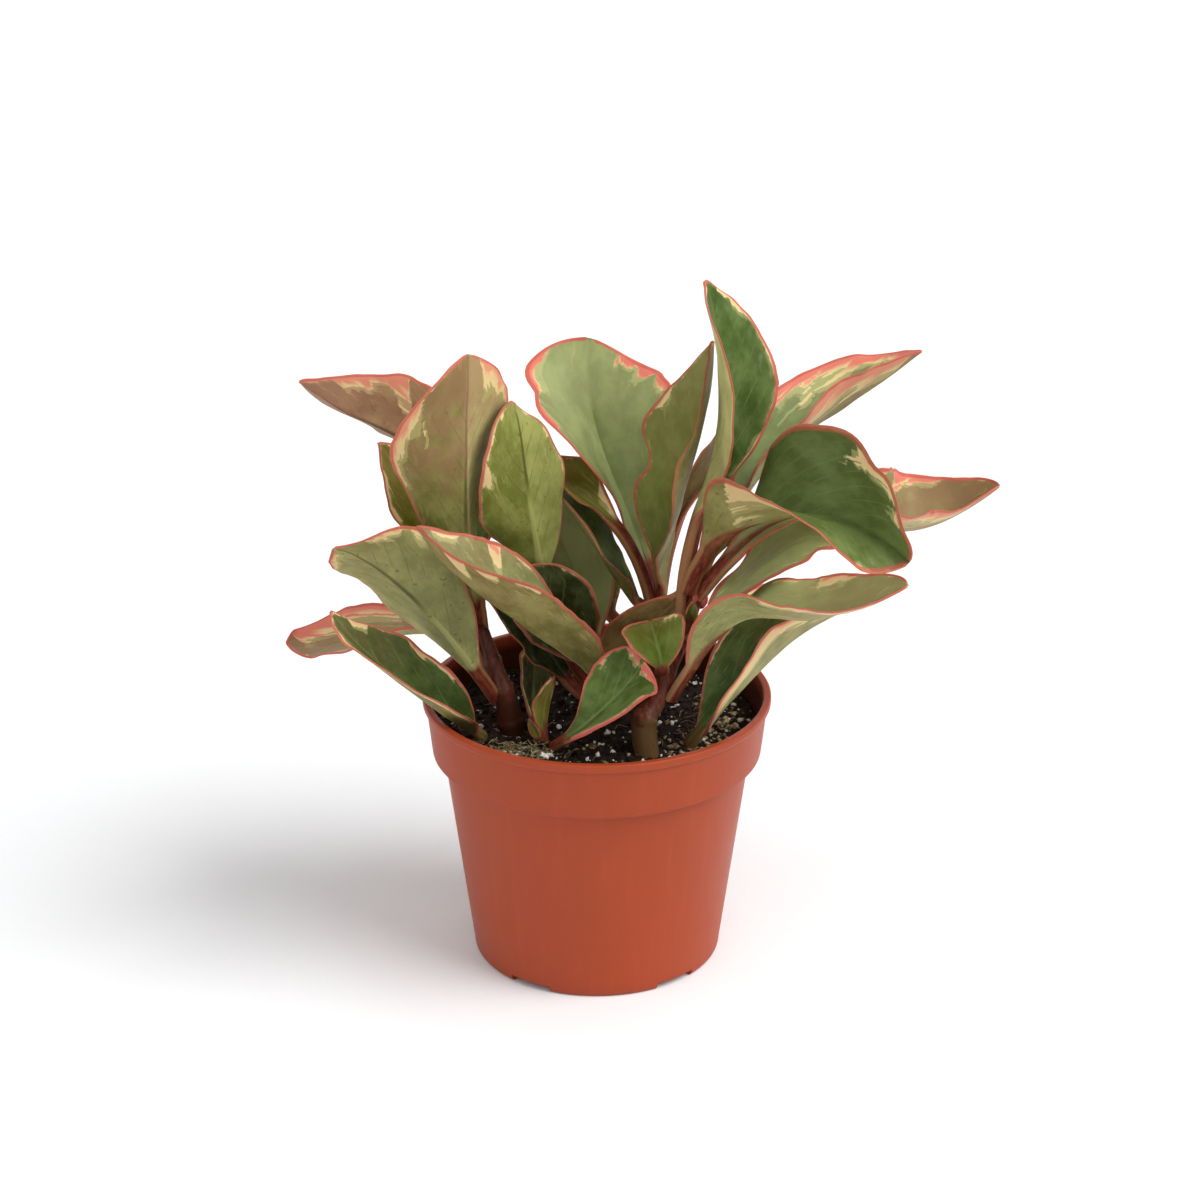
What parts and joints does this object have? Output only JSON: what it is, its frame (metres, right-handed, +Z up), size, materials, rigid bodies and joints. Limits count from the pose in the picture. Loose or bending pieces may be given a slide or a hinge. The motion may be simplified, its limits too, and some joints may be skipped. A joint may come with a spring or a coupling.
{
  "type": "potted jellie peperomia",
  "caption": "Bushy peperomia with cream and pink edged leaves on short stems, rooted in soil in a round tapered nursery pot.",
  "frame": {"origin": "pot axis at the level of the surface that it stands on, on the pot's centre foot", "axes": "+Z up, +X to the right and +Y to the back as seen from the plant's front"},
  "size_m": [0.2432, 0.1436, 0.243],
  "materials": {
    "pot": "terracotta coloured injection moulded plastic, satin",
    "soil": "dark peat with white perlite and pale fibres",
    "leaf": "fleshy satin leaf, green with cream and peach flames and a thin pink-red margin; red-brown stalks"
  },
  "bodies": {
    "root": {"pot": "pot", "soil": "soil", "left_shoot": "leaf", "middle_shoot": "leaf", "right_shoot": "leaf", "back_shoot": "leaf", "front_leaf": "leaf", "low_right_leaf": "leaf", "low_left_leaf": "leaf", "inner_leaf": "leaf", "sprout": "leaf"}
  },
  "joints": []
}
